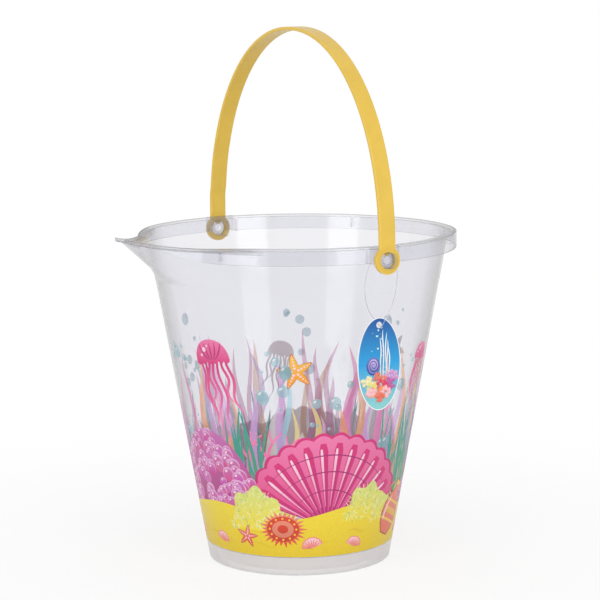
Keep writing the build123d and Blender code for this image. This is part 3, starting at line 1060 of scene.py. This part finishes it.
def small_shell(sheet, azimuth, height, radius, lean):
    """A small ribbed shell on the sand."""
    inks = sheet.inks
    outline = turned(fan(radius, 160, 7, 0.06), lean)
    sheet.backed(outline, azimuth, height, inks.salmon)
    inner = turned(fan(0.9 * radius, 154, 7, 0.06), lean)
    sheet.stamp(inner, azimuth, height, inks.salmon, inks.pale_pink)
    for rib in range(7):
        angle = 90 + 140 * ((rib + 0.5) / 7 - 0.5) + lean
        path = [(0.15 * radius, 0), (0.5 * radius, 0), (0.86 * radius, 0)]
        shape = turned(ribbon(path, [0.02 * radius, 0.07 * radius, 0.05 * radius]), angle)
        sheet.stamp(shape, azimuth, height, inks.coral_red, inks.salmon)


class BucketPrintOperator(bpy.types.Operator):
    """Lays the printed sea floor into the bucket's wall"""

    bl_idname = "object.sand_bucket_print"
    bl_label = "Printed film"

    def execute(self, context):
        inks = context.scene.sand_bucket_inks
        rng = random.Random(5)
        sheet = WallPrint("film_print", inks)
        rocks(sheet)
        tall_weed(sheet, rng)
        for azimuth, scale, stem, twig in (
            (40, 1.25, inks.magenta, inks.pink),
            (172, 1.0, inks.coral_red, inks.orange),
            (300, 1.1, inks.orchid, inks.lilac),
        ):
            sea_fan(sheet, azimuth, dune(azimuth) - 4, scale, stem, twig)
        sea_grass(sheet, rng)
        for azimuth, half_width, rise in (
            (40, 22, 34), (102, 24, 30), (128, 18, 24), (178, 24, 30),
            (210, 20, 26), (284, 26, 32), (336, 22, 26),
        ):
            moss(sheet, rng, azimuth, half_width, rise)
        for azimuth, height, radius, lean in ((75, 34, 66, -6), (236, 36, 52, 10)):
            great_shell(sheet, azimuth, height, radius, lean)
        for azimuth, half_width, top in ((8, 38, 98), (154, 26, 76), (266, 28, 78)):
            bubble_coral(sheet, rng, azimuth, half_width, top)
        sea_floor(sheet, rng)
        for azimuth, half_width, rise in (
            (35, 19, 30), (99, 17, 25), (114, 12, 18), (196, 16, 18), (302, 15, 18),
        ):
            moss(sheet, rng, azimuth, half_width, rise)
        for azimuth, height, radius in ((50, 34, 17), (205, 33, 13)):
            anemone(sheet, azimuth, height, radius)
        for azimuth, height, scale, lean in ((118, 22, 1.35, -24), (322, 24, 1.2, 20)):
            jar(sheet, azimuth, height, scale, lean)
        for azimuth, height, radius, turn, body, light in (
            (58, 146, 14, 12, inks.orange, inks.gold),
            (28, 27, 9, -10, inks.coral_red, inks.salmon),
            (186, 138, 12, 30, inks.magenta, inks.pink),
            (292, 26, 9, 20, inks.orange, inks.gold),
        ):
            starfish(sheet, azimuth, height, radius, turn, body, light)
        for azimuth, height, scale, lean in (
            (20, 150, 1.15, 8), (128, 146, 0.8, -10), (248, 128, 0.75, 12),
        ):
            jellyfish(sheet, azimuth, height, scale, lean)
        for azimuth, height, radius, lean in (
            (67, 20, 8, 14), (92, 19, 7, -18), (140, 19, 7.5, 10), (8, 20, 7, -12),
            (176, 20, 8, 6), (222, 19, 7, -14), (255, 21, 8, 12), (338, 19, 7, -6),
        ):
            small_shell(sheet, azimuth, height, radius, lean)
        bubbles(sheet, rng)
        piece = sheet.make()
        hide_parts("print_film")
        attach(piece, "bucket")
        return {"FINISHED"}


# ---------------------------------------------------------------- moulded pieces
class BucketBodyOperator(bpy.types.Operator):
    """Finishes the clear moulded bucket"""

    bl_idname = "object.sand_bucket_body"
    bl_label = "Clear bucket"

    def execute(self, context):
        plastic = context.scene.sand_bucket_plastic
        rim_radius = -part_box("bucket")[0].x
        skin = moulded_clear_polypropylene(plastic.clear, plastic.wave_size, film_low.z, rim_radius)
        dress("bucket", skin)
        return {"FINISHED"}


class HandleOperator(bpy.types.Operator):
    """Finishes the moulded handle"""

    bl_idname = "object.sand_bucket_handle"
    bl_label = "Handle"

    def execute(self, context):
        dress("handle", moulded_yellow_polypropylene(context.scene.sand_bucket_plastic.yellow))
        return {"FINISHED"}


# ---------------------------------------------------------------- tag and thread
TAG_HOLE_INSET = 4.9       # mm from the tag's top edge to the middle of its hole
TAG_HOLE_RADIUS = 1.9
STUD_OVER_HOLE = 42.4      # mm from the hole's middle up to the stud's axis
LOOP_OVER_STUD = 5.7       # mm from the stud's axis up to the thread that lies on it
THREAD_DIAMETER = 0.6 * MM


class TagPrint(Print):
    """Prints on the face of the tag. Shapes are placed in millimetres from the tag's middle."""

    def __init__(self, name):
        super().__init__(name, self.on_card, column=50, row=1.5)
        low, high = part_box("hang_tag")
        self.middle = (low + high) / 2
        self.face = high.y

    def on_card(self, x, y, lift):
        """A place on the card's face; x runs to the viewer's right."""
        clear = 0.01 * MM
        return (self.middle.x - x * MM, self.face + clear + lift, self.middle.z + y * MM)


def reef(card, ink, tag, inks):
    """The tag's picture: bubbles, fine weed, a coiled shell and heaps of coral on pale sand."""
    rng = random.Random(11)
    white = (0.9, 0.97, 1.0)
    for x, height, tint in (
        (1.5, 33, inks.ribbon_yellow), (3.2, 38, inks.pale_pink), (5.0, 36, inks.ribbon_yellow),
        (6.6, 31, inks.salmon), (8.2, 26, inks.pale_pink),
    ):
        blade = weed(height, width=0.9, sway=0.5, waves=1.4, phase=x, tip=0.9)
        card.add(ink, [(px + x, py - 15) for px, py in blade], tint, white)
    for _ in range(26):
        x, y = rng.uniform(-9, 9), rng.uniform(-6, 23)
        bubble = circle(x, y, rng.choice((0.25, 0.35, 0.5, 0.7)), 10)
        card.add(ink, bubble, tag.shallow_water, white)
    card.add(ink, oval(-4.6, -1.0, 5.4, 6.2, 36), inks.shell_violet, inks.shell_blue)
    shell_x, shell_y = -4.3, -0.7
    card.add(ink, oval(shell_x, shell_y, 4.6, 5.4, 36), inks.shell_blue, inks.lilac)
    coil, widths = [], []
    for step in range(61):
        turn = 5.2 * math.pi * step / 60
        reach = 0.4 + 4.6 * step / 60
        coil.append((shell_x + reach * math.cos(turn), shell_y + 1.12 * reach * math.sin(turn)))
        widths.append(0.3 + 1.1 * step / 60)
    card.add(ink, ribbon(coil, widths), inks.shell_violet, inks.shell_blue)
    heaps = (
        (-9.0, -11.5, 4.6, inks.gold, inks.moss_light),
        (-5.5, -14.5, 4.4, inks.lime, inks.ribbon_yellow),
        (10.0, -9.0, 5.0, inks.orchid, inks.lilac),
        (7.6, -13.5, 4.6, inks.deep_magenta, inks.orchid),
        (0.6, -9.5, 4.4, inks.coral_red, inks.salmon),
        (3.0, -15.0, 5.0, inks.coral_red, inks.magenta),
        (-1.6, -17.5, 4.6, inks.orange, inks.salmon),
        (5.6, -19.0, 4.0, inks.salmon, inks.pale_pink),
        (-6.2, -18.8, 3.4, inks.salmon, inks.pale_pink),
        (0.8, -22.0, 3.2, inks.coral_red, inks.salmon),
    )
    for x, y, radius, low, high in heaps:
        for _ in range(16):
            turn, reach = rng.uniform(0, 6.283), radius * math.sqrt(rng.uniform(0, 1))
            place = (x + reach * math.cos(turn), y + 0.8 * reach * math.sin(turn))
            petal = turned(star(rng.choice((5, 6, 7)), 1.9, 0.9, 3), rng.uniform(0, 72), *place)
            card.add(ink, petal, low, high)
            card.add(ink, circle(*place, 0.4, 8), high)


def thread_route():
    """The thread's points, from the knot through the tag's hole, over the stud and back."""
    low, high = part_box("hang_tag")
    hole = Vector(((low.x + high.x) / 2, (low.y + high.y) / 2, high.z - TAG_HOLE_INSET * MM))
    over_stud = hole + Vector((0, 0, STUD_OVER_HOLE + LOOP_OVER_STUD)) * MM
    up = (
        (-1.0, 1.35, -1.7), (1.0, -0.75, 1.6), (3.6, -1.1, 4.7), (7.6, -0.6, 9.6),
        (10.5, 0, 17.5), (11.0, -0.15, 26.5), (9.2, -0.2, 35.5), (5.0, -0.05, 43.3),
    )
    top = ((-1.6, 0, 1.6), (-8.6, 0, 0.4))
    down = (
        (-13.2, 0, 42.0), (-14.6, 0, 34.0), (-13.9, 0, 25.5), (-12.2, 0, 17.0),
        (-9.0, 0.3, 9.5), (-4.8, 0.9, 3.7), (-1.6, 1.35, -0.5),
    )
    return [
        start + Vector(step) * MM
        for start, steps in ((hole, up), (over_stud, top), (hole, down))
        for step in steps
    ]


class TagOperator(bpy.types.Operator):
    """Prints the card tag and hangs it on its thread"""

    bl_idname = "object.sand_bucket_tag"
    bl_label = "Tag and thread"

    def execute(self, context):
        tag, inks = context.scene.sand_bucket_tag, context.scene.sand_bucket_inks
        dress("hang_tag", coated_card(tag.card))
        self.picture(tag, inks)
        self.thread(tag)
        return {"FINISHED"}

    def picture(self, tag, inks):
        """A generic underwater scene in an oval, inside a white border."""
        low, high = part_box("hang_tag")
        half_width = (high.x - low.x) / 2 / MM - tag.border / MM
        half_height = (high.z - low.z) / 2 / MM - tag.border / MM
        hole_y = (high.z - low.z) / 2 / MM - TAG_HOLE_INSET
        ink = printed_ink("offset_printed_card_ink", cover=1.0, passing=0.0, roughness=0.3)
        card = TagPrint("tag_print")
        rim = oval(0, 0, half_width, half_height, 96)
        card.add(ink, rim[48:] + rim[:1], tag.shallow_water, tag.water)
        # The upper half is printed in two pieces that meet over the middle of the hole.
        hole = circle(0, hole_y, TAG_HOLE_RADIUS + 0.2, 32)
        right = rim[:25] + hole[8::-1] + hole[:23:-1] + [(0, 0)]
        left = [(0, 0)] + hole[24:7:-1] + rim[24:49]
        for half in (right, left):
            card.add(ink, half, tag.water, tag.deep_water)
        reef(card, ink, tag, inks)
        piece = card.make()
        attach(piece, "tag")

    def thread(self, tag):
        """The clear thread and its knot."""
        nylon = drawn_nylon_thread(tag.thread)
        route = thread_route()
        thread = bend_thread("thread", route, THREAD_DIAMETER / 2, 4, nylon)
        thread.data.splines[0].use_endpoint_u = True
        thread.data.use_fill_caps = True
        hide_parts("tag_loop")
        knot = bend_thread("thread_knot", knot_route(route[0]), 0.28 * MM, 3, nylon)
        knot.data.splines[0].use_cyclic_u = True
        for piece in (thread, knot):
            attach(piece, "tag")


def knot_route(place):
    """Points of an overhand knot: a thread wound round itself twice."""
    steps = 30
    points = []
    for step in range(steps):
        turn = 2 * math.pi * step / steps
        ring = 0.42 + 0.22 * math.cos(3 * turn)
        offset = (ring * math.cos(2 * turn), 0.3 * math.sin(3 * turn), ring * math.sin(2 * turn))
        points.append(place + Vector(offset) * MM)
    return points


def bend_thread(name, route, radius, facets, material):
    """A round thread on a smooth curve along its route."""
    curve = bpy.data.curves.new(name, "CURVE")
    curve.dimensions = "3D"
    curve.resolution_u = 12
    curve.bevel_depth = radius
    curve.bevel_resolution = facets
    curve.materials.append(material)
    spline = curve.splines.new("NURBS")
    spline.points.add(len(route) - 1)
    for point, place in zip(spline.points, route):
        point.co = (*place, 1)
    spline.order_u = 3
    thread = bpy.data.objects.new(name, curve)
    bpy.context.scene.collection.objects.link(thread)
    return thread


# ---------------------------------------------------------------- stage
BUCKET_MIDDLE = Vector((0, 0, 0.15))
# Places are counted toward the camera, to its right and up.
KEY_PLACE = Vector((1.7, -0.15, 1.25))
BOX_PLACE = Vector((1.29, 1.05, 0.6))


def soft_lamp(name, power, width, height, place):
    """A large soft lamp that faces the middle of the bucket."""
    data = bpy.data.lights.new(name, "AREA")
    data.shape = "RECTANGLE"
    data.size, data.size_y = width, height
    data.energy = power
    lamp = bpy.data.objects.new(name, data)
    lamp.location = place
    lamp.rotation_euler = (BUCKET_MIDDLE - place).to_track_quat("-Z", "Y").to_euler()
    bpy.context.scene.collection.objects.link(lamp)


class StageOperator(bpy.types.Operator):
    """Sets the floor, the lamps and the camera"""

    bl_idname = "scene.sand_bucket_stage"
    bl_label = "Stage"

    def execute(self, context):
        scene = context.scene
        stage = scene.sand_bucket_stage
        scene.view_settings.view_transform = "Standard"
        scene.cycles.max_bounces = 24
        scene.cycles.transmission_bounces = 24
        scene.cycles.transparent_max_bounces = 48
        self.floor(stage)
        self.sky(stage)
        self.lamps(stage)
        self.camera(stage)
        return {"FINISHED"}

    def floor(self, stage):
        """A pale round floor that fades into the white round it."""
        mesh = bpy.data.meshes.new("floor")
        rim = [(x, y, 0) for x, y in circle(0, 0, stage.floor_radius, 96)]
        mesh.from_pydata(rim, [], [list(range(96))])
        floor = bpy.data.objects.new("floor", mesh)
        floor.location.z = -0.2 * MM     # a hair under the foot, so that the two faces never meet
        bpy.context.scene.collection.objects.link(floor)
        material, tree = new_material("matt_painted_floor")
        place = add_node(tree, "ShaderNodeTexCoord")
        distance = add_node(
            tree, "ShaderNodeVectorMath", {0: place.outputs["Object"]}, operation="LENGTH"
        )
        fade = add_node(
            tree,
            "ShaderNodeMapRange",
            {
                "Value": distance.outputs["Value"],
                "From Min": 0.15 * stage.floor_radius,
                "From Max": stage.floor_radius,
                "To Min": 1.0,
                "To Max": 0.0,
            },
            interpolation_type="SMOOTHSTEP",
        )
        paint = add_node(
            tree,
            "ShaderNodeBsdfPrincipled",
            {"Base Color": (*stage.floor, 1), "Roughness": 0.9, "Specular IOR Level": 0.1},
        )
        # The camera sees the floor over-exposed, as a white sweep whose shadow is only faint.
        white = add_node(tree, "ShaderNodeEmission", {"Color": (1, 1, 1, 1), "Strength": 1.0})
        path = add_node(tree, "ShaderNodeLightPath")
        share = add_node(
            tree,
            "ShaderNodeMath",
            {0: path.outputs["Is Camera Ray"], 1: 0.74},
            operation="MULTIPLY",
        )
        seen = add_node(
            tree,
            "ShaderNodeMixShader",
            {0: share.outputs[0], 1: paint.outputs[0], 2: white.outputs[0]},
        )
        nothing = add_node(tree, "ShaderNodeBsdfTransparent")
        sweep = add_node(
            tree,
            "ShaderNodeMixShader",
            {0: fade.outputs[0], 1: nothing.outputs[0], 2: seen.outputs[0]},
        )
        finish_material(tree, sweep)
        mesh.materials.append(material)

    def sky(self, stage):
        """Even pale light from all round, which shows as white behind the bucket."""
        world = bpy.data.worlds.new("studio")
        bpy.context.scene.world = world
        world.use_nodes = True
        tree = world.node_tree
        tree.nodes.clear()
        path = add_node(tree, "ShaderNodeLightPath")
        seen = add_node(
            tree,
            "ShaderNodeMath",
            {0: path.outputs["Is Camera Ray"], 1: path.outputs["Is Transmission Ray"]},
            operation="MAXIMUM",
        )
        mirrored = add_node(
            tree,
            "ShaderNodeMapRange",
            {"Value": path.outputs["Is Glossy Ray"], "To Min": stage.sky, "To Max": 0.8},
        )
        strength = add_node(
            tree,
            "ShaderNodeMapRange",
            {"Value": seen.outputs[0], "To Min": mirrored.outputs[0], "To Max": 1.0},
        )
        light = add_node(
            tree, "ShaderNodeBackground", {"Color": (1, 1, 1, 1), "Strength": strength.outputs[0]}
        )
        add_node(tree, "ShaderNodeOutputWorld", {"Surface": light.outputs[0]})

    def lamps(self, stage):
        """A large lamp high above the camera and a tall soft box on either side of it."""
        toward = Matrix.Rotation(stage.camera_azimuth, 3, "Z")
        soft_lamp("key", stage.key, width=1.3, height=0.7, place=toward @ KEY_PLACE)
        for name, side in (("left_box", -1), ("right_box", 1)):
            place = toward @ (BOX_PLACE * Vector((1, side, 1)))
            soft_lamp(name, stage.fill, width=0.78, height=1.5, place=place)

    def camera(self, stage):
        """The camera, level with the handle and looking slightly down."""
        data = bpy.data.cameras.new("camera")
        data.angle = stage.camera_view
        camera = bpy.data.objects.new("camera", data)
        place = Vector((stage.camera_distance, stage.camera_aside, stage.camera_height))
        turn = Matrix.Rotation(stage.camera_azimuth, 4, "Z")
        facing = Matrix.Rotation(math.pi / 2, 4, "Z") @ Matrix.Rotation(
            math.pi / 2 - stage.camera_pitch, 4, "X"
        )
        lean = Matrix.Rotation(stage.camera_roll, 4, "Z")
        camera.matrix_world = turn @ Matrix.Translation(place) @ facing @ lean
        bpy.context.scene.collection.objects.link(camera)
        bpy.context.scene.camera = camera


# ---------------------------------------------------------------- add-on
class SandBucketPanel(bpy.types.Panel):
    """Lists the bucket's steps"""

    bl_idname = "VIEW3D_PT_sand_bucket"
    bl_label = "Sand bucket"
    bl_space_type = "VIEW_3D"
    bl_region_type = "UI"
    bl_category = "Sand bucket"

    def draw(self, context):
        for operator in OPERATORS:
            self.layout.operator(operator.bl_idname)


GROUPS = {
    "sand_bucket_plastic": SandBucketPlastic,
    "sand_bucket_inks": SandBucketInks,
    "sand_bucket_tag": SandBucketTag,
    "sand_bucket_stage": SandBucketStage,
}
OPERATORS = (StageOperator, TagOperator, BucketBodyOperator, BucketPrintOperator, HandleOperator)


def register():
    for group in GROUPS.values():
        bpy.utils.register_class(group)
    for name, group in GROUPS.items():
        setattr(bpy.types.Scene, name, PointerProperty(type=group))
    for operator in OPERATORS:
        bpy.utils.register_class(operator)
    bpy.utils.register_class(SandBucketPanel)


def unregister():
    bpy.utils.unregister_class(SandBucketPanel)
    for operator in reversed(OPERATORS):
        bpy.utils.unregister_class(operator)
    for name in GROUPS:
        delattr(bpy.types.Scene, name)
    for group in reversed(list(GROUPS.values())):
        bpy.utils.unregister_class(group)


def main():
    """Registers the add-on and dresses the bucket."""
    register()
    bpy.ops.scene.sand_bucket_stage()
    bpy.ops.object.sand_bucket_tag()
    bpy.ops.object.sand_bucket_body()
    bpy.ops.object.sand_bucket_print()
    bpy.ops.object.sand_bucket_handle()


if __name__ == "__main__":
    main()
